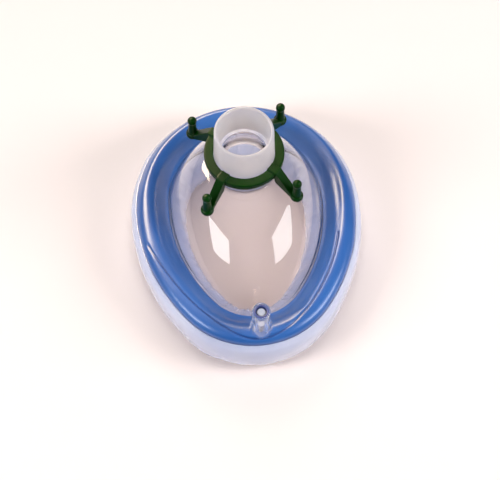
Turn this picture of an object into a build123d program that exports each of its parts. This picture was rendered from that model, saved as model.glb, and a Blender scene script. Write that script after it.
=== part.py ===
from build123d import *
import math
import os

# Disposable air-cushion face mask: a clear dome with a 22 mm socket, a strap hook ring, an
# inflatable cushion and its inflation valve.  Millimetres.  +Z is up, -Y is the narrow nose end,
# the seal face of the cushion lies on z = 0 and the origin is the middle of the footprint.

# ---- outline of the dome rim, seen from above: four tangent arcs ----
HALF_WIDTH = 33.4       # half width of the rim
WIDEST_Y = 8.5          # where the rim is widest
SIDE_R = 73.0           # radius of the two long sides
CHIN_Y = 45.2           # broad end of the rim
NOSE_Y = -45.2          # narrow end of the rim

# ---- cushion section: offsets outwards from the rim outline ----
FILM = 0.8              # wall of the cushion film
LIP_INNER = 0.2         # free edge of the coloured film on the dome flange
LIP_OUTER = 2.6
CREST_OFFSET = 9.6
CREST_Z = 27.0
SEAM_OFFSET = 14.6      # weld between the coloured and the clear film
SEAM_Z = 22.0
BULGE_OFFSET = 17.0
BULGE_Z = 11.4
SEAL_OUTER = 8.6        # flat band that touches the face
SEAL_INNER = 1.0
BELLY_OFFSET = -7.5     # inner wall of the cushion, under the dome
BELLY_Z = 9.0
INNER_SEAM_OFFSET = -1.2

# ---- dome and its flange ----
DOME_WALL = 1.6
FLANGE_BOTTOM = 19.6
FLANGE_TOP = 20.8
FLANGE_OFFSET = LIP_OUTER
DOME_TOP = 48.0
DOME_FULLNESS = 1.5     # 1 is a straight cone, 2 is an ellipse
DOME_TOP_R = 14.6
RIM_STEPS = 36          # points in each section of the dome
DOME_LEVELS = (90, 76, 62, 48, 34, 18, 0)

# ---- neck with the 22 mm socket ----
NECK_Y = 14.5
NECK_BASE_R = 13.0
NECK_RIM_R = 12.5
SHOULDER_Z = 54.0       # the hook ring rests on this shoulder
SHOULDER_R = 14.4
NECK_TOP = 73.0
SOCKET_R = 11.1
SOCKET_DEPTH = 16.0
THROAT_R = 9.8
RING_SEAT_H = 3.4       # straight part of the neck the hook ring turns on
RIM_ROUND = 0.5

# ---- hook ring ----
RING_BORE_R = 13.05
RING_OUTER_R = 17.0
RING_BOTTOM = 54.05
RING_TOP = 57.0
RING_TURN = 4.5         # the ring stands a little turned
HOOK_ANGLES = (45.0, 135.0, 225.0, 315.0)
HOOK_R = 27.0           # distance of the prongs from the neck axis
ARM_HALF_WIDTH = 1.9
ARM_ROOT_R = 12.0       # the arms start at the bore and stand above the ring
ARM_TOP = 57.9
FOOT_R = 2.8
FOOT_BOTTOM = 45.4
FOOT_TOP = 47.7
PRONG_BASE_R = 2.0
PRONG_TOP_R = 1.6
TIP_Z = 56.3
TIP_R = 2.0

# ---- inflation valve ----
VALVE_X = 0.5
VALVE_Y = -53.2
PORT_TOP = 42.2
PORT_BOTTOM = 21.0
PORT_R = 3.9
SKIRT_R = 5.3
SKIRT_TOP = 37.0
SLEEVE_R = 3.15
SLEEVE_BOTTOM = 39.6
LUER_R = 2.125
BODY_R = 2.7
BODY_BOTTOM = 34.4
WEB_TOP = 35.8          # the web between BODY_BOTTOM and here is the valve seat
WEB_HOLE_R = 1.5
CHAMBER_R = 2.5
STEM_R = 1.0
HEAD_R = 1.7
HEAD_TOP = 41.4
HEAD_H = 1.6
POPPET_R = 2.0
POPPET_H = 1.2
SEAL_H = 0.9
SEAL_GAP = 0.3
TAIL_R = 0.85
GUIDE_R = 0.9
RETAINER_BOTTOM = 22.0
RETAINER_H = 2.2
VENT_R = 0.5
SPRING_WIRE_R = 0.22
SPRING_R = 1.6
SPRING_TURNS = 5


def end_radius(reach):
    """Radius of the end arc that is tangent to both sides and ends `reach` beyond WIDEST_Y."""
    side_x = HALF_WIDTH - SIDE_R
    return (SIDE_R ** 2 - reach ** 2 - side_x ** 2) / (2 * (SIDE_R - reach))


def rim_arcs():
    """The rim as (centre x, centre y, radius, first angle, last angle), anticlockwise."""
    chin_r = end_radius(CHIN_Y - WIDEST_Y)
    nose_r = end_radius(WIDEST_Y - NOSE_Y)
    chin_cy = CHIN_Y - chin_r
    nose_cy = NOSE_Y + nose_r
    side_cx = SIDE_R - HALF_WIDTH
    chin_a = math.degrees(math.atan2(chin_cy - WIDEST_Y, side_cx))
    nose_a = math.degrees(math.atan2(WIDEST_Y - nose_cy, side_cx))
    return [
        (0.0, chin_cy, chin_r, chin_a, 180 - chin_a),
        (side_cx, WIDEST_Y, SIDE_R, 180 - chin_a, 180 + nose_a),
        (0.0, nose_cy, nose_r, 180 + nose_a, 360 - nose_a),
        (-side_cx, WIDEST_Y, SIDE_R, 360 - nose_a, 360 + chin_a),
    ]


def rim_point(angle, offset):
    """Point whose outward normal has this angle, `offset` outside the rim."""
    for cx, cy, radius, first, last in rim_arcs():
        for turn in (angle, angle + 360):
            if first <= turn <= last:
                a = math.radians(turn)
                reach = radius + offset
                return cx + reach * math.cos(a), cy + reach * math.sin(a)


def rim_face(offset, z):
    """Flat face inside the rim outline, grown by `offset`, at height z."""
    edges = []
    for cx, cy, radius, first, last in rim_arcs():
        plane = Plane(origin=(cx, cy, z))
        edges.append(plane * CenterArc((0, 0, 0), radius + offset, first, last - first))
    return Face(Wire(edges))


def sweep_round(face):
    """Carry a section, drawn in XZ with x = offset from the rim, once round the rim."""
    pieces = []
    for cx, cy, radius, first, last in rim_arcs():
        piece = revolve(Pos(radius, 0, 0) * face, Axis.Z, revolution_arc=last - first)
        pieces.append(Pos(cx, cy, 0) * Rot(0, 0, first) * piece)
    return pieces[0].fuse(*pieces[1:]).clean()


def section_spline(points, tangents):
    """Smooth edge through (offset, z) points; tangents are the two end directions."""
    return Spline(
        [(x, 0, z) for x, z in points],
        tangents=[(x, 0, z) for x, z in tangents],
    )


def film_face(skin):
    """Section of a film: the outer skin edges and their copy one film thickness inside."""
    inset = []
    for edge in skin:
        points = []
        for step in range(11):
            along = edge % (step / 10)
            points.append(edge @ (step / 10) + Vector(along.Z, 0, -along.X) * FILM)
        inset.append(Spline(points))
    start = Line(skin[0] @ 0, inset[0] @ 0)
    end = Line(skin[-1] @ 1, inset[-1] @ 1)
    return Face(Wire(skin + [end] + inset + [start]))


def collar_skin():
    """Outer skin of the coloured film, from its inner lip over the crest to the weld."""
    lip_z = FLANGE_TOP + FILM
    lip = Line((LIP_INNER, 0, lip_z), (LIP_OUTER, 0, lip_z))
    points = [
        (LIP_OUTER, lip_z),
        (5.6, 24.6),
        (CREST_OFFSET, CREST_Z),
        (12.5, 25.6),
        (SEAM_OFFSET, SEAM_Z),
    ]
    return [lip, section_spline(points, [(1, 0), (0.7, -1)])]


def bladder_skin():
    """Outer skin of the clear film, from the weld round the seal face to the dome flange."""
    outside = [
        (SEAM_OFFSET, SEAM_Z),
        (16.3, 18.2),
        (BULGE_OFFSET, BULGE_Z),
        (14.1, 2.8),
        (SEAL_OUTER, 0),
    ]
    inside = [
        (SEAL_INNER, 0),
        (-5.6, 2.9),
        (BELLY_OFFSET, BELLY_Z),
        (-4.8, 15.6),
        (INNER_SEAM_OFFSET, FLANGE_BOTTOM),
    ]
    return [
        section_spline(outside, [(0.7, -1), (-1, 0)]),
        Line((SEAL_OUTER, 0, 0), (SEAL_INNER, 0, 0)),
        section_spline(inside, [(-1, 0), (0, 1)]),
    ]


def round_bar(r, bottom, top):
    """Vertical round bar on the valve axis."""
    return Pos(VALVE_X, VALVE_Y, (bottom + top) / 2) * Cylinder(r, top - bottom)


def valve_tube(outer_r, inner_r, bottom, top):
    """Vertical tube on the valve axis."""
    return round_bar(outer_r, bottom, top) - round_bar(inner_r, bottom - 1, top + 1)


def turned(points, x=0.0, y=0.0):
    """Solid of revolution about the vertical axis at (x, y) from (radius, z) points."""
    outline = Polyline([(r, 0, z) for r, z in points], close=True)
    return Pos(x, y, 0) * revolve(Face(Wire(outline)), Axis.Z)


def make_cushion_collar():
    """Coloured upper film of the cushion, with the hole of the valve port."""
    return sweep_round(film_face(collar_skin())) - round_bar(PORT_R, PORT_BOTTOM, PORT_TOP)


def make_cushion_bladder():
    """Clear lower film of the cushion, with the flat seal face."""
    return sweep_round(film_face(bladder_skin()))


def dome_section(level, offset, top_r, bottom_z, top_z):
    """One closed section of the dome; level 90 is the rim outline and 0 the round top."""
    a = math.radians(level)
    spread = math.sin(a) ** (2 / DOME_FULLNESS)
    rise = math.cos(a) ** (2 / DOME_FULLNESS) if level < 90 else 0.0
    z = bottom_z + (top_z - bottom_z) * rise
    points = []
    for step in range(RIM_STEPS):
        x, y = rim_point(step * 360 / RIM_STEPS, offset)
        reach = math.hypot(x, y - NECK_Y)
        scale = (top_r + spread * (reach - top_r)) / reach
        points.append((x * scale, NECK_Y + (y - NECK_Y) * scale, z))
    return Face(Wire(Spline(points, periodic=True)))


def dome_block(offset, top_r, bottom_z, top_z):
    """Solid block with the dome's shape."""
    return loft([dome_section(a, offset, top_r, bottom_z, top_z) for a in DOME_LEVELS])


def make_dome_shell():
    """Clear dome with its flange and the neck that holds the 22 mm socket."""
    outside = dome_block(0, DOME_TOP_R, FLANGE_TOP, DOME_TOP)
    flange = extrude(rim_face(FLANGE_OFFSET, FLANGE_BOTTOM), FLANGE_TOP - FLANGE_BOTTOM)
    inner = (-DOME_WALL, DOME_TOP_R - DOME_WALL, FLANGE_TOP, DOME_TOP - DOME_WALL)
    inside = dome_block(*inner)
    mouth = extrude(dome_section(90, *inner), -2 * (FLANGE_TOP - FLANGE_BOTTOM))
    neck = turned(
        [
            (0, DOME_TOP - DOME_WALL / 2),
            (SHOULDER_R, DOME_TOP - DOME_WALL / 2),
            (SHOULDER_R, SHOULDER_Z),
            (NECK_BASE_R, SHOULDER_Z),
            (NECK_BASE_R, SHOULDER_Z + RING_SEAT_H),
            (NECK_RIM_R, NECK_TOP - RIM_ROUND),
            (NECK_RIM_R - RIM_ROUND, NECK_TOP),
            (0, NECK_TOP),
        ],
        y=NECK_Y,
    )
    ledge_z = NECK_TOP - SOCKET_DEPTH
    bore = turned(
        [
            (0, DOME_TOP - 3 * DOME_WALL),
            (THROAT_R, DOME_TOP - 3 * DOME_WALL),
            (THROAT_R, ledge_z),
            (SOCKET_R, ledge_z),
            (SOCKET_R, NECK_TOP - RIM_ROUND),
            (SOCKET_R + RIM_ROUND, NECK_TOP),
            (SOCKET_R + RIM_ROUND, NECK_TOP + 1),
            (0, NECK_TOP + 1),
        ],
        y=NECK_Y,
    )
    return (outside + flange) - inside - mouth + neck - bore


def make_hook():
    """One arm, foot and ball-ended prong, standing on +X from the neck axis."""
    side = Polyline(
        (ARM_ROOT_R, 0, ARM_TOP),
        (RING_OUTER_R + 0.6, 0, ARM_TOP),
        (HOOK_R - 1.6, 0, FOOT_TOP + 0.6),
        (HOOK_R, 0, FOOT_TOP - 0.4),
        (HOOK_R, 0, FOOT_BOTTOM + 0.4),
        (HOOK_R - 2.4, 0, FOOT_BOTTOM + 0.5),
        (RING_OUTER_R + 0.2, 0, FOOT_TOP + 2.6),
        (RING_OUTER_R - 1.2, 0, RING_BOTTOM + 0.6),
        (ARM_ROOT_R, 0, RING_BOTTOM + 0.6),
        close=True,
    )
    arm = extrude(Face(Wire(side)), ARM_HALF_WIDTH, both=True)
    foot = Pos(HOOK_R, 0, (FOOT_BOTTOM + FOOT_TOP) / 2) * Cylinder(FOOT_R, FOOT_TOP - FOOT_BOTTOM)
    foot = fillet(foot.edges(), 0.7)
    prong = Pos(HOOK_R, 0, (FOOT_BOTTOM + 1 + TIP_Z) / 2) * Cone(
        PRONG_BASE_R, PRONG_TOP_R, TIP_Z - FOOT_BOTTOM - 1
    )
    tip = Pos(HOOK_R, 0, TIP_Z) * Sphere(TIP_R)
    return arm + foot + prong + tip


def make_hook_ring():
    """Ring that turns on the neck, with four arms that end in strap prongs."""
    ring = Cylinder(RING_OUTER_R, RING_TOP - RING_BOTTOM)
    ring = fillet(ring.edges(), 0.4)
    ring = Pos(0, 0, (RING_BOTTOM + RING_TOP) / 2) * ring
    hook = make_hook()
    for angle in HOOK_ANGLES:
        ring = ring + Rot(0, 0, angle + RING_TURN) * hook
    bore = Pos(0, 0, RING_TOP) * Cylinder(RING_BORE_R, 4 * (RING_TOP - RING_BOTTOM))
    return Pos(0, NECK_Y, 0) * (ring - bore)


def make_valve_port():
    """Clear port housing: a flared skirt on the crest and a tube down into the cushion."""
    skirt = turned(
        [
            (0, CREST_Z - 4),
            (SKIRT_R, CREST_Z - 4),
            (SKIRT_R, CREST_Z + 0.4),
            (SKIRT_R - 0.4, CREST_Z + 4),
            (PORT_R + 0.2, SKIRT_TOP - 2),
            (PORT_R, SKIRT_TOP),
            (0, SKIRT_TOP),
        ],
        VALVE_X,
        VALVE_Y,
    )
    closing = Line(collar_skin()[-1] @ 1, collar_skin()[0] @ 0)
    envelope = sweep_round(Face(Wire(collar_skin() + [closing])))
    tube = round_bar(PORT_R, PORT_BOTTOM, PORT_TOP)
    sleeve_seat = round_bar(SLEEVE_R, SLEEVE_BOTTOM, PORT_TOP + 1)
    body_seat = round_bar(BODY_R, BODY_BOTTOM, SLEEVE_BOTTOM + 1)
    chamber = round_bar(CHAMBER_R, PORT_BOTTOM - 1, BODY_BOTTOM + 1)
    return (skirt - envelope) + tube - sleeve_seat - body_seat - chamber


def make_valve_sleeve():
    """Coloured ring at the mouth of the syringe socket."""
    return valve_tube(SLEEVE_R, LUER_R, SLEEVE_BOTTOM, PORT_TOP)


def make_valve_body():
    """White body with the rest of the syringe socket and the valve seat below it."""
    socket = round_bar(LUER_R, WEB_TOP, SLEEVE_BOTTOM + 1)
    return valve_tube(BODY_R, WEB_HOLE_R, BODY_BOTTOM, SLEEVE_BOTTOM) - socket


def poppet_top():
    """Height of the poppet disc's upper face with the valve closed."""
    return BODY_BOTTOM - SEAL_GAP - SEAL_H


def make_valve_plunger():
    """White plunger: head in the socket, stem through the seat, poppet and tail."""
    top = poppet_top()
    return (
        round_bar(STEM_R, top - 0.1, HEAD_TOP)
        + round_bar(HEAD_R, HEAD_TOP - HEAD_H, HEAD_TOP)
        + round_bar(POPPET_R, top - POPPET_H, top)
        + round_bar(TAIL_R, RETAINER_BOTTOM + 0.4, top - POPPET_H + 0.1)
    )


def make_valve_seal():
    """Soft ring on the poppet that closes the seat."""
    return valve_tube(POPPET_R, STEM_R, poppet_top(), poppet_top() + SEAL_H)


def make_valve_retainer():
    """Disc pressed into the bottom of the port; guides the tail and carries the spring."""
    disc = valve_tube(CHAMBER_R, GUIDE_R, RETAINER_BOTTOM, RETAINER_BOTTOM + RETAINER_H)
    vent = Pos(VALVE_X, VALVE_Y, RETAINER_BOTTOM + RETAINER_H / 2) * (
        Rot(0, 0, 45) * Pos(CHAMBER_R, 0, 0) * Cylinder(VENT_R, RETAINER_H + 2)
    )
    axis = Axis((VALVE_X, VALVE_Y, 0), (0, 0, 1))
    for quarter in range(4):
        disc = disc - vent.rotate(axis, 90 * quarter)
    return disc


def make_valve_spring():
    """Closing spring between the retainer and the poppet."""
    bottom = RETAINER_BOTTOM + RETAINER_H + SPRING_WIRE_R
    top = poppet_top() - POPPET_H - SPRING_WIRE_R
    path = Helix((top - bottom) / SPRING_TURNS, top - bottom, SPRING_R)
    wire = Plane(origin=path @ 0, z_dir=path % 0) * Circle(SPRING_WIRE_R)
    return Pos(VALVE_X, VALVE_Y, bottom) * sweep(wire, path, is_frenet=True)


PARTS = {
    "dome_shell": make_dome_shell,
    "hook_ring": make_hook_ring,
    "cushion_collar": make_cushion_collar,
    "cushion_bladder": make_cushion_bladder,
    "valve_port": make_valve_port,
    "valve_sleeve": make_valve_sleeve,
    "valve_body": make_valve_body,
    "valve_plunger": make_valve_plunger,
    "valve_seal": make_valve_seal,
    "valve_retainer": make_valve_retainer,
    "valve_spring": make_valve_spring,
}

os.makedirs("parts", exist_ok=True)
for name, make in PARTS.items():
    solid = make()
    solid.label = name
    export_step(solid, f"parts/{name}.step")
    box = solid.bounding_box()
    print(name, len(solid.solids()), round(solid.volume, 1), box.min, box.max)
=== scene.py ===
"""Looks of a disposable air-cushion face mask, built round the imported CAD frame."""
import math

import bmesh
import bpy
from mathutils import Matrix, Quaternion, Vector, noise


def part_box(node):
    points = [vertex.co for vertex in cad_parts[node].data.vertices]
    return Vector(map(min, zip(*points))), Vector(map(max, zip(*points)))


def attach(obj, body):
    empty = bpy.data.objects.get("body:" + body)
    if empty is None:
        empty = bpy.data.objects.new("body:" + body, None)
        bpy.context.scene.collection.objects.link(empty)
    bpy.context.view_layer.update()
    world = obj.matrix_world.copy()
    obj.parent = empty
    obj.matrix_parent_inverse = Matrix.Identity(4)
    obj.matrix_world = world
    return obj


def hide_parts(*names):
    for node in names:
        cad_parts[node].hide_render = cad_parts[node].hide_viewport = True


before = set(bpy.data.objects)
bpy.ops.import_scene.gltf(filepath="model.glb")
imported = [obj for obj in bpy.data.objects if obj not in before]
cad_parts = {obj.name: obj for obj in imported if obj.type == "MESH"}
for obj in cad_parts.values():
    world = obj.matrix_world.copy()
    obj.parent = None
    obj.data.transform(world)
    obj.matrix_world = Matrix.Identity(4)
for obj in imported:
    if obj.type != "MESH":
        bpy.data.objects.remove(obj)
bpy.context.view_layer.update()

MM = 0.001

# ---- sizes read from the frame, in millimetres ----


def box_mm(node):
    """Lowest and highest corners of a CAD node in millimetres."""
    low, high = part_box(node)
    return Vector(low) / MM, Vector(high) / MM


DOME_LOW, DOME_HIGH = box_mm("dome_shell")
RING_LOW, RING_HIGH = box_mm("hook_ring")
COLLAR_HIGH = box_mm("cushion_collar")[1]
BLADDER_HIGH = box_mm("cushion_bladder")[1]
PORT_LOW, PORT_HIGH = box_mm("valve_port")
SLEEVE_LOW, SLEEVE_HIGH = box_mm("valve_sleeve")
BODY_LOW, BODY_HIGH = box_mm("valve_body")

FLANGE = 2.6            # how far the dome's flange stands out of the rim outline
FLANGE_T = 1.2
HALF_WIDTH = DOME_HIGH.x - FLANGE
CHIN_Y = DOME_HIGH.y - FLANGE
NOSE_Y = DOME_LOW.y + FLANGE
WIDEST_Y = 8.5
SIDE_R = 73.0
FLANGE_Z = DOME_LOW.z
FLANGE_TOP = FLANGE_Z + FLANGE_T
NECK_TOP = DOME_HIGH.z
NECK = Vector((0.0, (RING_LOW.y + RING_HIGH.y) / 2))
VALVE = Vector(((SLEEVE_LOW.x + SLEEVE_HIGH.x) / 2, (SLEEVE_LOW.y + SLEEVE_HIGH.y) / 2))
CREST_Z = COLLAR_HIGH.z
SEAM_Z = BLADDER_HIGH.z
FILM = 0.8

AROUND = 336            # steps round the rim outline
LATHE_STEPS = 96


# ---- rim outline: four tangent arcs ----


def end_radius(reach):
    side_x = HALF_WIDTH - SIDE_R
    return (SIDE_R ** 2 - reach ** 2 - side_x ** 2) / (2 * (SIDE_R - reach))


def rim_arcs():
    """(centre x, centre y, radius, first angle, last angle) in radians, anticlockwise."""
    chin_r = end_radius(CHIN_Y - WIDEST_Y)
    nose_r = end_radius(WIDEST_Y - NOSE_Y)
    side_cx = SIDE_R - HALF_WIDTH
    chin_cy = CHIN_Y - chin_r
    nose_cy = NOSE_Y + nose_r
    chin_a = math.atan2(chin_cy - WIDEST_Y, side_cx)
    nose_a = math.atan2(WIDEST_Y - nose_cy, side_cx)
    return [
        (-side_cx, WIDEST_Y, SIDE_R, 0.0, chin_a),
        (0.0, chin_cy, chin_r, chin_a, math.pi - chin_a),
        (side_cx, WIDEST_Y, SIDE_R, math.pi - chin_a, math.pi + nose_a),
        (0.0, nose_cy, nose_r, math.pi + nose_a, 2 * math.pi - nose_a),
        (-side_cx, WIDEST_Y, SIDE_R, 2 * math.pi - nose_a, 2 * math.pi),
    ]


def rim_path(steps):
    """Evenly spaced (point on the rim, outward direction) pairs."""
    arcs = rim_arcs()
    total = sum(r * (last - first) for _, _, r, first, last in arcs)
    found = []
    for step in range(steps):
        along = total * step / steps
        for cx, cy, r, first, last in arcs:
            if along <= r * (last - first):
                angle = first + along / r
                out = Vector((math.cos(angle), math.sin(angle)))
                found.append((Vector((cx, cy)) + out * r, out))
                break
            along -= r * (last - first)
    return found


RIM = rim_path(AROUND)


# ---- mesh helpers ----


def new_piece(name, verts, faces, materials, face_slots=None):
    """Mesh object from millimetre points, smooth shaded, riding on the mask body."""
    mesh = bpy.data.meshes.new(name)
    mesh.from_pydata([Vector(v) * MM for v in verts], [], faces)
    mesh.validate()
    for material in materials:
        mesh.materials.append(material)
    if face_slots:
        for face, slot in zip(mesh.polygons, face_slots):
            face.material_index = slot
    bm = bmesh.new()
    bm.from_mesh(mesh)
    bmesh.ops.recalc_face_normals(bm, faces=bm.faces)
    bm.to_mesh(mesh)
    bm.free()
    mesh.shade_smooth()
    piece = bpy.data.objects.new(name, mesh)
    bpy.context.scene.collection.objects.link(piece)
    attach(piece, "mask")
    return piece


def grid_faces(rows, columns):
    """Quads of a grid that closes round both ways."""
    faces = []
    for row in range(rows):
        following = (row + 1) % rows
        for column in range(columns):
            across = (column + 1) % columns
            faces.append((
                row * columns + column,
                row * columns + across,
                following * columns + across,
                following * columns + column,
            ))
    return faces


def smooth_curve(points, steps):
    """Catmull-Rom points through (a, b) pairs, `steps` to each span."""
    padded = [points[0]] + list(points) + [points[-1]]
    found = []
    for i in range(1, len(padded) - 2):
        p0, p1, p2, p3 = (Vector(p) for p in padded[i - 1:i + 3])
        for step in range(steps):
            t = step / steps
            found.append(0.5 * (
                2 * p1
                + (p2 - p0) * t
                + (2 * p0 - 5 * p1 + 4 * p2 - p3) * t * t
                + (3 * p1 - p0 - 3 * p2 + p3) * t ** 3
            ))
    found.append(Vector(points[-1]))
    return found


def value_at(curve, x):
    """The curve's second value where its first is x, or None past its ends."""
    for low, high in zip(curve, curve[1:]):
        if low.x <= x <= high.x:
            share = (x - low.x) / max(high.x - low.x, 1e-6)
            return low.y + share * (high.y - low.y)
    return None


def lathe(name, profile, centre, material):
    """Closed solid of revolution from a loop of (radius, z) points."""
    verts = []
    for r, z in profile:
        for step in range(LATHE_STEPS):
            a = 2 * math.pi * step / LATHE_STEPS
            verts.append((centre.x + r * math.cos(a), centre.y + r * math.sin(a), z))
    return new_piece(name, verts, grid_faces(len(profile), LATHE_STEPS), [material])


CORNER_CUT = 0.25
CORNER_STEPS = 4
MOST_OF_SIDE = 0.45     # largest share of a side that one corner may cut away


def rounded(corners):
    """A closed loop of (r, z) or (r, z, cut) corners with each corner rounded off."""
    loop = []
    count = len(corners)
    for i in range(count):
        here = Vector(corners[i][:2])
        before = Vector(corners[i - 1][:2]) - here
        after = Vector(corners[(i + 1) % count][:2]) - here
        cut = corners[i][2] if len(corners[i]) > 2 else CORNER_CUT
        cut = min(cut, before.length * MOST_OF_SIDE, after.length * MOST_OF_SIDE)
        start = here + before.normalized() * cut
        end = here + after.normalized() * cut
        for step in range(CORNER_STEPS + 1):
            t = step / CORNER_STEPS
            loop.append((1 - t) ** 2 * start + 2 * t * (1 - t) * here + t * t * end)
    return loop


# ---- materials ----


def principled(name, **values):
    """Material with a Principled shader whose named sockets are set."""
    material = bpy.data.materials.new(name)
    material.use_nodes = True
    shader = material.node_tree.nodes["Principled BSDF"]
    for socket, value in values.items():
        shader.inputs[socket.replace("_", " ")].default_value = value
    return material, shader


def noise_texture(material, scale, detail):
    """Noise in the object's own coordinates."""
    nodes, links = material.node_tree.nodes, material.node_tree.links
    coords = nodes.new("ShaderNodeTexCoord")
    texture = nodes.new("ShaderNodeTexNoise")
    texture.inputs["Scale"].default_value = scale
    texture.inputs["Detail"].default_value = detail
    links.new(coords.outputs["Object"], texture.inputs["Vector"])
    return texture


def add_noise(material, shader, scale, low, high):
    """Drives the roughness between two values from soft noise."""
    nodes, links = material.node_tree.nodes, material.node_tree.links
    texture = noise_texture(material, scale, 4.0)
    span = nodes.new("ShaderNodeMapRange")
    span.inputs["To Min"].default_value = low
    span.inputs["To Max"].default_value = high
    links.new(texture.outputs["Fac"], span.inputs["Value"])
    links.new(span.outputs["Result"], shader.inputs["Roughness"])


def add_tint(material, shader, scale, dark, light):
    """Drives the base colour between two colours from broad noise."""
    nodes, links = material.node_tree.nodes, material.node_tree.links
    texture = noise_texture(material, scale, 3.0)
    ramp = nodes.new("ShaderNodeValToRGB")
    ramp.color_ramp.elements[0].position = 0.3
    ramp.color_ramp.elements[0].color = (*dark, 1)
    ramp.color_ramp.elements[1].position = 0.7
    ramp.color_ramp.elements[1].color = (*light, 1)
    links.new(texture.outputs["Fac"], ramp.inputs["Fac"])
    links.new(ramp.outputs["Color"], shader.inputs["Base Color"])


def add_bump(material, shader, scale, strength, distance):
    """Fine surface relief from noise."""
    nodes, links = material.node_tree.nodes, material.node_tree.links
    texture = noise_texture(material, scale, 3.0)
    bump = nodes.new("ShaderNodeBump")
    bump.inputs["Strength"].default_value = strength
    bump.inputs["Distance"].default_value = distance
    links.new(texture.outputs["Fac"], bump.inputs["Height"])
    links.new(bump.outputs["Normal"], shader.inputs["Normal"])


def let_lamps_through(material, shader, tint):
    """Shadow rays pass a clear plastic wall, tinted, instead of stopping at it."""
    nodes, links = material.node_tree.nodes, material.node_tree.links
    path = nodes.new("ShaderNodeLightPath")
    clear = nodes.new("ShaderNodeBsdfTransparent")
    clear.inputs["Color"].default_value = (*tint, 1)
    mix = nodes.new("ShaderNodeMixShader")
    links.new(path.outputs["Is Shadow Ray"], mix.inputs["Fac"])
    links.new(shader.outputs["BSDF"], mix.inputs[1])
    links.new(clear.outputs["BSDF"], mix.inputs[2])
    links.new(mix.outputs["Shader"], nodes["Material Output"].inputs["Surface"])


MOULDED_PASS = (0.72, 0.71, 0.73)
FILM_PASS = (0.08, 0.08, 0.08)
PORT_PASS = (0.92, 0.92, 0.95)


def clear_plastic():
    material, shader = principled(
        "clear_moulded_plastic",
        Transmission_Weight=1.0,
        IOR=1.22,
        Coat_Weight=1.0,
        Coat_IOR=1.5,
        Coat_Roughness=0.012,
    )
    add_tint(material, shader, 30.0, (0.79, 0.79, 0.835), (0.84, 0.84, 0.88))
    add_noise(material, shader, 60.0, 0.02, 0.06)
    let_lamps_through(material, shader, MOULDED_PASS)
    return material


def frosted_plastic():
    material, shader = principled(
        "frosted_moulded_plastic", Transmission_Weight=0.78, IOR=1.4, Roughness=0.3
    )
    add_tint(material, shader, 90.0, (0.80, 0.80, 0.85), (0.88, 0.88, 0.92))
    add_noise(material, shader, 160.0, 0.24, 0.38)
    add_bump(material, shader, 1500.0, 0.12, 0.00012)
    let_lamps_through(material, shader, MOULDED_PASS)
    return material


def green_plastic():
    material, shader = principled(
        "green_moulded_plastic", Roughness=0.3, IOR=1.5, Specular_IOR_Level=0.14
    )
    add_tint(material, shader, 70.0, (0.0, 0.018, 0.0), (0.0, 0.030, 0.0))
    add_noise(material, shader, 220.0, 0.26, 0.4)
    add_bump(material, shader, 1300.0, 0.15, 0.00012)
    return material


def blue_film(name, dark, light):
    material, shader = principled(
        name, Specular_IOR_Level=0.15, Coat_Weight=1.0, Coat_IOR=1.5, Coat_Roughness=0.24
    )
    add_tint(material, shader, 28.0, dark, light)
    add_noise(material, shader, 120.0, 0.35, 0.5)
    add_bump(material, shader, 260.0, 0.08, 0.0003)
    return material


def clear_film():
    material, shader = principled(
        "clear_cushion_film",
        Transmission_Weight=0.3,
        IOR=1.25,
        Roughness=0.14,
        Coat_Weight=1.0,
        Coat_Roughness=0.05,
    )
    add_tint(material, shader, 35.0, (0.62, 0.68, 0.93), (0.74, 0.79, 0.99))
    add_noise(material, shader, 90.0, 0.1, 0.24)
    add_bump(material, shader, 140.0, 0.12, 0.0004)
    let_lamps_through(material, shader, FILM_PASS)
    return material


def port_plastic():
    material, shader = principled(
        "clear_port_plastic",
        Transmission_Weight=0.93,
        IOR=1.16,
        Coat_Weight=1.0,
        Coat_Roughness=0.03,
    )
    add_tint(material, shader, 120.0, (0.88, 0.88, 0.93), (0.95, 0.95, 0.98))
    add_noise(material, shader, 300.0, 0.04, 0.1)
    let_lamps_through(material, shader, PORT_PASS)
    return material


def solid_plastic(name, dark, light, roughness):
    material, shader = principled(name, Roughness=roughness, IOR=1.5)
    add_tint(material, shader, 250.0, dark, light)
    add_noise(material, shader, 500.0, roughness * 0.8, roughness * 1.3)
    add_bump(material, shader, 2200.0, 0.12, 0.00008)
    return material


def spring_steel():
    material, shader = principled("spring_steel", Metallic=1.0)
    add_tint(material, shader, 400.0, (0.42, 0.42, 0.43), (0.6, 0.6, 0.62))
    add_noise(material, shader, 900.0, 0.22, 0.36)
    return material


CLEAR = clear_plastic()
FROSTED = frosted_plastic()
GREEN = green_plastic()
BLUE_FILM = blue_film("blue_cushion_film", (0.018, 0.092, 0.33), (0.032, 0.135, 0.43))
# darker copy of the blue film: painted shade for the crease line and the folded outer edge
CREASE_SHADE_FILM = blue_film("blue_film_painted_crease_shade", (0.010, 0.052, 0.21), (0.014, 0.064, 0.25))
CLEAR_FILM = clear_film()
PORT = port_plastic()
BLUE_PLASTIC = solid_plastic("blue_insert_plastic", (0.035, 0.055, 0.19), (0.055, 0.08, 0.26), 0.35)
WHITE_PLASTIC = solid_plastic("white_valve_plastic", (0.86, 0.86, 0.88), (0.93, 0.93, 0.94), 0.4)
PLUNGER_PLASTIC = solid_plastic(
    "natural_plunger_plastic", (0.36, 0.39, 0.48), (0.46, 0.49, 0.58), 0.4
)
SEAL_RUBBER = solid_plastic("seal_rubber", (0.03, 0.03, 0.035), (0.06, 0.06, 0.065), 0.6)
SPRING_STEEL = spring_steel()

# ---- dome with neck ----

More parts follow.
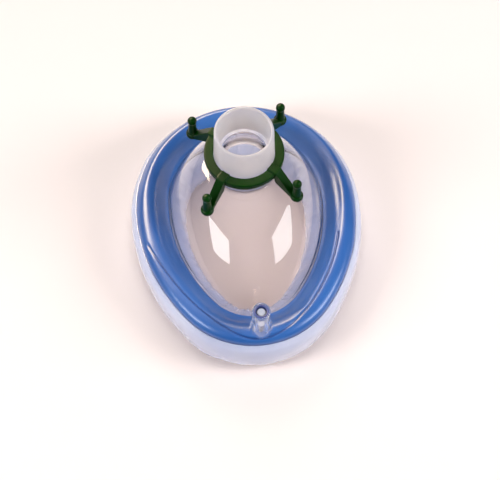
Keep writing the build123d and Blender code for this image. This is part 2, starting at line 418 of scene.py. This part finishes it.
DOME_TOP = 48.0
DOME_TOP_R = 14.4
DOME_WALL = 1.6
FULLNESS = 1.5
LEVELS = 28
SHOULDER_Z = 54.0
NECK_BASE_R = 13.0
NECK_RIM_R = 12.5
SOCKET_R = 11.1
LEDGE_Z = NECK_TOP - 16.0
THROAT_R = 9.8
CLEAR_ROWS = 6          # rows at the foot of the neck that are clear, not frosted


def dome_ring(spread, z, offset, top_r):
    """One closed ring of the dome; spread 1 is the rim outline, 0 the round top."""
    ring = []
    for point, out in RIM:
        reach = point + out * offset - NECK
        length = top_r + spread * (reach.length - top_r)
        ring.append((*(NECK + reach.normalized() * length), z))
    return ring


def dome_curve(offset, top_r, low, high):
    """Rings of one side of the dome wall, from the top down to the rim."""
    rings = []
    for level in range(LEVELS + 1):
        a = math.pi / 2 * level / LEVELS
        spread = math.sin(a) ** (2 / FULLNESS)
        rise = max(math.cos(a), 0.0) ** (2 / FULLNESS)
        rings.append(dome_ring(spread, low + (high - low) * rise, offset, top_r))
    return rings


def make_dome():
    """Clear dome and flange with the frosted neck, as one closed mesh."""
    neck = rounded([
        (THROAT_R, DOME_TOP - DOME_WALL),
        (THROAT_R, LEDGE_Z, 0.3),
        (SOCKET_R, LEDGE_Z, 0.3),
        (SOCKET_R, NECK_TOP, 0.6),
        (NECK_RIM_R, NECK_TOP, 0.6),
        (NECK_BASE_R, SHOULDER_Z, 0.2),
        (DOME_TOP_R, SHOULDER_Z, 0.3),
        (DOME_TOP_R, DOME_TOP, 0.8),
    ])
    neck = neck[5:-5]
    rings = [dome_ring(0, z, 0, r) for r, z in neck]
    frosted_rows = len(rings) - CLEAR_ROWS
    rings += dome_curve(0, DOME_TOP_R + 0.6, FLANGE_TOP, DOME_TOP)
    flange = [(0.3, FLANGE_TOP), (FLANGE - 0.2, FLANGE_TOP), (FLANGE, FLANGE_TOP - 0.3)]
    flange += [(FLANGE, FLANGE_Z + 0.3), (FLANGE - 0.2, FLANGE_Z), (-DOME_WALL + 0.2, FLANGE_Z)]
    rings += [dome_ring(1, z, offset, 0) for offset, z in flange]
    inner = dome_curve(-DOME_WALL, DOME_TOP_R - DOME_WALL, FLANGE_TOP, DOME_TOP - DOME_WALL)
    rings += reversed(inner)
    rings.append(dome_ring(0, DOME_TOP - DOME_WALL, 0, THROAT_R + 0.2))
    verts = [v for ring in rings for v in ring]
    slots = [int(row < frosted_rows) for row in range(len(rings)) for _ in range(AROUND)]
    dome = new_piece(
        "dome_and_neck", verts, grid_faces(len(rings), AROUND), [CLEAR, FROSTED], slots
    )
    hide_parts("dome_shell")


make_dome()

# ---- hook ring, moulded soft from its CAD node ----

HOOK_VOXEL = 0.22 * MM
RELAX_ROUNDS = 6


def make_hook_ring():
    """The ring's node remeshed and relaxed, so that its edges are moulded round."""
    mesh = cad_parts["hook_ring"].data.copy()
    ring = bpy.data.objects.new("hook_ring_moulded", mesh)
    bpy.context.scene.collection.objects.link(ring)
    remesh = ring.modifiers.new("remesh", "REMESH")
    remesh.mode = "VOXEL"
    remesh.voxel_size = HOOK_VOXEL
    relax = ring.modifiers.new("relax", "SMOOTH")
    relax.iterations = RELAX_ROUNDS
    relax.factor = 0.5
    bpy.context.view_layer.update()
    depsgraph = bpy.context.evaluated_depsgraph_get()
    final = bpy.data.meshes.new_from_object(ring.evaluated_get(depsgraph))
    ring.modifiers.clear()
    ring.data = final
    final.materials.clear()
    final.materials.append(GREEN)
    final.shade_smooth()
    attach(ring, "ring")
    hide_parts("hook_ring")


make_hook_ring()

# ---- inflated cushion ----

BLUE_SKIN = [
    (0.15, FLANGE_TOP + 0.8),
    (1.5, FLANGE_TOP + 1.3),
    (3.4, 23.6),
    (5.6, 25.6),
    (7.6, 26.6),
    (9.4, CREST_Z - 0.1),
    (11.2, 26.7),
    (12.6, 26.15),
    (13.6, 25.4),
    (14.3, 24.5),
    (14.6, 23.5),
    (14.7, SEAM_Z + 0.6),
]
EDGE_OFFSET = 14.5      # past this offset the film gets a painted shade, darker where it folds under
BLUE_STEPS = 12
SLUMP_IN = 1.0          # how far the broad end's shoulder sits in and down
SLUMP_DOWN = 2.4
# fine crease of the near half: (bearing in degrees, offset from the rim)
CREASE = [
    (192, 12.4),
    (204, 9.6),
    (222, 8.2),
    (240, 9.4),
    (267, 12.9),
    (293, 10.6),
    (310, 8.6),
    (346, 7.0),
]
CREASE_DEPTH = 0.35
CREASE_HALF_WIDTH = 0.5
CLEAR_SKIN = [
    (14.5, SEAM_Z + 0.9),
    (15.0, SEAM_Z + 0.9),
    (15.4, SEAM_Z + 0.4),
    (15.9, SEAM_Z - 0.5),
    (16.6, 20.0),
    (17.1, 17.6),
    (17.2, 14.4),
    (17.0, 11.0),
    (16.3, 7.0),
    (14.1, 2.8),
    (11.2, 0.7),
    (8.6, 0.05),
    (5.0, 0.0),
    (1.0, 0.05),
    (-2.6, 0.9),
    (-5.8, 3.2),
    (-7.4, 8.0),
    (-6.8, 12.6),
    (-4.6, 16.4),
    (-1.4, FLANGE_Z - 0.1),
]
CLEAR_STEPS = 6
# soft dents of the blue film: (bearing, offset, half length in degrees, half width, depth)
DENTS = [
    (2.0, 6.6, 13.0, 1.5, 0.55),
    (-24.0, 5.0, 4.0, 1.0, 0.45),
    (196.0, 4.6, 9.0, 1.3, 0.3),
    (246.0, 4.2, 6.0, 1.2, 0.35),
    (312.0, 5.6, 7.0, 1.4, 0.35),
]
BLUE_WAVE = 0.12        # depths of the soft waves and of the puckers
PUCKER = 1.1
CLEAR_WAVE = 0.35
OUTER_PUCKER = 0.15


def film_loop(skin, steps):
    """Closed loop of (offset, z): the outer skin and its copy one film inside."""
    outer = smooth_curve(skin, steps)
    inner = []
    for i, here in enumerate(outer):
        along = outer[min(i + 1, len(outer) - 1)] - outer[max(i - 1, 0)]
        inner.append(here + Vector((along.y, -along.x)).normalized() * FILM)
    return outer, inner


def bearing(out):
    """Direction of the outline's normal in degrees, 0 at +X and 90 at the chin."""
    return math.degrees(math.atan2(out.y, out.x)) % 360


def turn_between(a, b):
    return (a - b + 180) % 360 - 180


CREASE_CURVE = smooth_curve(CREASE, 8)


def from_crease(angle, offset):
    """Distance in millimetres from the crease line, or None past its two ends."""
    line = value_at(CREASE_CURVE, angle)
    return None if line is None else offset - line


def blue_relief(point, out, offset, z):
    """Fine crease of the near half, listed dents and a soft waviness."""
    angle = bearing(out)
    push = BLUE_WAVE * noise.noise(Vector((point.x, point.y, z)) * 0.09)
    apart = from_crease(angle, offset)
    if apart is not None:
        push -= CREASE_DEPTH * math.exp(-(apart / CREASE_HALF_WIDTH) ** 2)
    for at, across, length, width, depth in DENTS:
        along = turn_between(angle, at) / length
        push -= depth * math.exp(-along ** 2 - ((offset - across) / width) ** 2)
    return push


def clear_relief(point, out, offset, z):
    """Puckers that fan out of the inner weld, and slacker waves on the outer bulge."""
    angle = math.radians(bearing(out))
    place = Vector((point.x, point.y, 0))
    ribs = noise.noise(Vector((math.cos(angle), math.sin(angle), 0.2)) * 11.0)
    ribs += 0.6 * noise.noise(Vector((math.cos(angle), math.sin(angle), 3.2)) * 24.0)
    inner = math.exp(-((offset + 4.5) / 3.0) ** 2) if z > 4 else 0.0
    outer = math.exp(-((offset - 16.0) / 2.0) ** 2)
    waves = noise.noise(place * 0.11 + Vector((0, 0, z * 0.16)))
    return PUCKER * ribs * inner + CLEAR_WAVE * waves * outer + OUTER_PUCKER * ribs * outer


def slump(out, offset, z):
    """The shoulder of the film sits lower and further in round the broad end."""
    far = max(0.0, min(1.0, (out.y + 0.3) / 0.6))
    outer = max(0.0, min(1.0, (offset - 9.0) / 6.0))
    share = far * outer * outer * (3 - 2 * outer) * min(1.0, z / SEAM_Z)
    return offset - SLUMP_IN * share, z - SLUMP_DOWN * share


def sweep_film(name, skin, steps, materials, relief, slot_of=None):
    """Film swept round the rim outline, pushed along its normal by a relief function."""
    outer, inner = film_loop(skin, steps)
    columns = []
    slots = []
    for point, out in RIM:
        columns.append([])
        for layer, sign in ((outer, 1), (list(reversed(inner)), -1)):
            last = len(layer) - 1
            for i, (offset, z) in enumerate(layer):
                along = layer[min(i + 1, last)] - layer[max(i - 1, 0)]
                side = Vector((-along.y, along.x)).normalized() * sign
                fade = min(1.0, min(i, last - i) / steps) * min(1.0, z / 2.5)
                push = relief(point + out * offset, out, offset, z) * fade
                reach, height = slump(out, offset + side.x * push, z + side.y * push)
                columns[-1].append((*(point + out * reach), max(height, 0.0)))
                slots.append(slot_of(out, offset) if slot_of and sign > 0 else 0)
    verts = [v for column in columns for v in column]
    return new_piece(name, verts, grid_faces(AROUND, len(outer) + len(inner)), materials, slots)


def painted_shade_slot(out, offset):
    """1, the slot of the painted shade, for the faces along the crease and along the folded outer
    edge, 0 elsewhere.
    """
    apart = from_crease(bearing(out), offset)
    creased = apart is not None and abs(apart) < CREASE_HALF_WIDTH * 0.8
    return 1 if creased or offset > EDGE_OFFSET else 0


def make_cushion():
    blue = sweep_film(
        "cushion_blue_film", BLUE_SKIN, BLUE_STEPS, [BLUE_FILM, CREASE_SHADE_FILM],
        blue_relief, painted_shade_slot,
    )
    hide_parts("cushion_collar")
    clear = sweep_film(
        "cushion_clear_film", CLEAR_SKIN, CLEAR_STEPS, [CLEAR_FILM], clear_relief
    )
    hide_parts("cushion_bladder")


make_cushion()

# ---- inflation valve ----

PORT_R = 3.9
SKIRT_R = (PORT_HIGH.y - PORT_LOW.y) / 2
SLEEVE_R = (SLEEVE_HIGH.x - SLEEVE_LOW.x) / 2
BODY_R = (BODY_HIGH.x - BODY_LOW.x) / 2
CHAMBER_R = BODY_R - 0.2
LUER_R = 2.125
WEB_T = 1.4
WEB_HOLE_R = 1.5
PRESS_GAP = 0.05        # clearance between the port and the parts pressed into it


BLUE_CURVE = smooth_curve(BLUE_SKIN, 4)
SKIRT_REACH = 2.0       # how far above the crest the skirt still bends


def lay_skirt(port):
    """Lets the foot of the port's skirt follow the blue film under it."""
    for vertex in port.data.vertices:
        spot = Vector(vertex.co) / MM
        reach = (Vector((spot.x, spot.y)) - VALVE).length
        if reach < PORT_R + 0.15 or spot.z > CREST_Z + SKIRT_REACH:
            continue
        offset = max((Vector((spot.x, spot.y)) - point).dot(out) for point, out in RIM)
        height = value_at(BLUE_CURVE, offset)
        drop = (SEAM_Z if height is None else height) - CREST_Z
        fade = min(1.0, (CREST_Z + SKIRT_REACH - spot.z) / SKIRT_REACH)
        vertex.co.z += drop * fade * MM


def make_valve():
    """Clear flared port with its blue mouth ring, white body and moving plunger."""
    top = PORT_HIGH.z
    port = lathe(
        "valve_port_housing",
        rounded([
            (CHAMBER_R, PORT_LOW.z),
            (PORT_R, PORT_LOW.z),
            (PORT_R, CREST_Z - 0.6, 0.1),
            (SKIRT_R - 0.4, CREST_Z - 0.5, 0.3),
            (SKIRT_R - 0.3, CREST_Z + 2.0, 1.2),
            (SKIRT_R - 0.6, CREST_Z + 5.0, 1.6),
            (PORT_R + 0.2, CREST_Z + 8.0, 1.6),
            (PORT_R - 0.05, top, 0.35),
            (SLEEVE_R + PRESS_GAP, top, 0.2),
            (SLEEVE_R + PRESS_GAP, SLEEVE_LOW.z, 0.1),
            (BODY_R + PRESS_GAP, SLEEVE_LOW.z, 0.1),
            (BODY_R + PRESS_GAP, BODY_LOW.z, 0.1),
            (CHAMBER_R, BODY_LOW.z, 0.1),
        ]),
        VALVE, PORT,
    )
    lay_skirt(port)
    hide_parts("valve_port")
    sleeve = lathe(
        "valve_mouth_ring",
        rounded([
            (LUER_R, SLEEVE_LOW.z, 0.1),
            (SLEEVE_R, SLEEVE_LOW.z, 0.1),
            (SLEEVE_R, top + 0.1, 0.35),
            (LUER_R + 0.1, top + 0.1, 0.35),
        ]),
        VALVE, BLUE_PLASTIC,
    )
    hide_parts("valve_sleeve")
    body = lathe(
        "valve_white_body",
        rounded([
            (WEB_HOLE_R, BODY_LOW.z, 0.15),
            (BODY_R, BODY_LOW.z, 0.4),
            (BODY_R, BODY_HIGH.z, 0.15),
            (LUER_R, BODY_HIGH.z, 0.15),
            (LUER_R, BODY_LOW.z + WEB_T, 0.15),
            (WEB_HOLE_R, BODY_LOW.z + WEB_T, 0.15),
        ]),
        VALVE, WHITE_PLASTIC,
    )
    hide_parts("valve_body")
    for node, material in (
        ("valve_plunger", PLUNGER_PLASTIC),
        ("valve_retainer", WHITE_PLASTIC),
        ("valve_seal", SEAL_RUBBER),
        ("valve_spring", SPRING_STEEL),
    ):
        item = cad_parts[node]
        item.data.materials.clear()
        item.data.materials.append(material)


make_valve()

# ---- floor, light and camera ----

LIGHT_AIM = Vector((0.0, -0.015, 0.04))
LEFT = (-0.755, -0.269, 0.598)
RIGHT = (0.789, -0.248, 0.562)
LEFT_ROLL = 43
RIGHT_ROLL = -43
WARM = (1.0, 0.78, 0.52)
FLOOR_HALF = 3.0
FLOOR_Z = -0.0003


def area_light(name, direction, distance, size, radiance, part, roll=0.0, tint=(1, 1, 1)):
    """Soft box aimed at the dome, used either for its light or for its reflection."""
    lamp = bpy.data.lights.new(name, "AREA")
    lamp.shape = "RECTANGLE"
    lamp.size, lamp.size_y = size
    lamp.energy = math.pi * size[0] * size[1] * radiance
    lamp.color = tint
    item = bpy.data.objects.new(name, lamp)
    away = Vector(direction).normalized()
    item.location = LIGHT_AIM + away * distance
    aim = (-away).to_track_quat("-Z", "Y")
    item.rotation_euler = (aim @ Quaternion((0, 0, 1), math.radians(roll))).to_euler()
    item.visible_diffuse = part == "light"
    item.visible_glossy = part == "reflection"
    item.visible_transmission = False
    bpy.context.scene.collection.objects.link(item)


def make_floor():
    mesh = bpy.data.meshes.new("floor")
    corners = ((-1, -1), (1, -1), (1, 1), (-1, 1))
    mesh.from_pydata(
        [(x * FLOOR_HALF, y * FLOOR_HALF, FLOOR_Z) for x, y in corners], [], [(0, 1, 2, 3)]
    )
    material, shader = principled("pale_floor", Roughness=0.7)
    shader.inputs["Specular IOR Level"].default_value = 0.2
    shader.inputs["Base Color"].default_value = (0.90, 0.79, 0.75, 1)
    mesh.materials.append(material)
    floor = bpy.data.objects.new("floor", mesh)
    bpy.context.scene.collection.objects.link(floor)


def make_world():
    world = bpy.data.worlds.new("studio")
    world.use_nodes = True
    back = world.node_tree.nodes["Background"]
    back.inputs["Color"].default_value = (0.98, 0.98, 1.0, 1)
    back.inputs["Strength"].default_value = 0.12
    bpy.context.scene.world = world


CAMERA_DISTANCE = 0.8
CAMERA_ELEVATION = math.radians(62.0)
CAMERA_TURN = math.radians(5.6)
CAMERA_LENS = 129.4
CAMERA_AIM = Vector((0.0013, 0.0025, 0.0))


def make_camera():
    """Long lens looking down on the nose end."""
    data = bpy.data.cameras.new("camera")
    data.lens = CAMERA_LENS
    data.sensor_width = 36.0
    data.clip_end = 10.0
    camera = bpy.data.objects.new("camera", data)
    back = Vector((
        -math.sin(CAMERA_TURN) * math.cos(CAMERA_ELEVATION),
        -math.cos(CAMERA_TURN) * math.cos(CAMERA_ELEVATION),
        math.sin(CAMERA_ELEVATION),
    ))
    camera.location = CAMERA_AIM + back * CAMERA_DISTANCE
    camera.rotation_euler = (-back).to_track_quat("-Z", "Y").to_euler()
    bpy.context.scene.collection.objects.link(camera)
    bpy.context.scene.camera = camera


make_floor()
make_world()
make_camera()
area_light("left_box", LEFT, 0.8, (0.40, 0.22), 15.0, "light", LEFT_ROLL)
area_light("right_box", RIGHT, 0.8, (0.50, 0.26), 12.0, "light", RIGHT_ROLL)
area_light("left_mirror", LEFT, 0.76, (0.38, 0.21), 9.0, "reflection", LEFT_ROLL)
area_light("right_mirror", RIGHT, 0.76, (0.48, 0.25), 8.0, "reflection", RIGHT_ROLL)
area_light("top_box", (0.0, -0.1, 1.0), 0.9, (0.35, 0.35), 5.0, "light")
area_light("back_box", (0.0, 0.75, 0.66), 0.9, (0.5, 0.5), 3.0, "light")
area_light("back_mirror", (-0.38, 0.66, 0.62), 0.85, (0.80, 0.46), 20.0, "reflection", tint=WARM)

bpy.context.scene.view_settings.view_transform = "Standard"
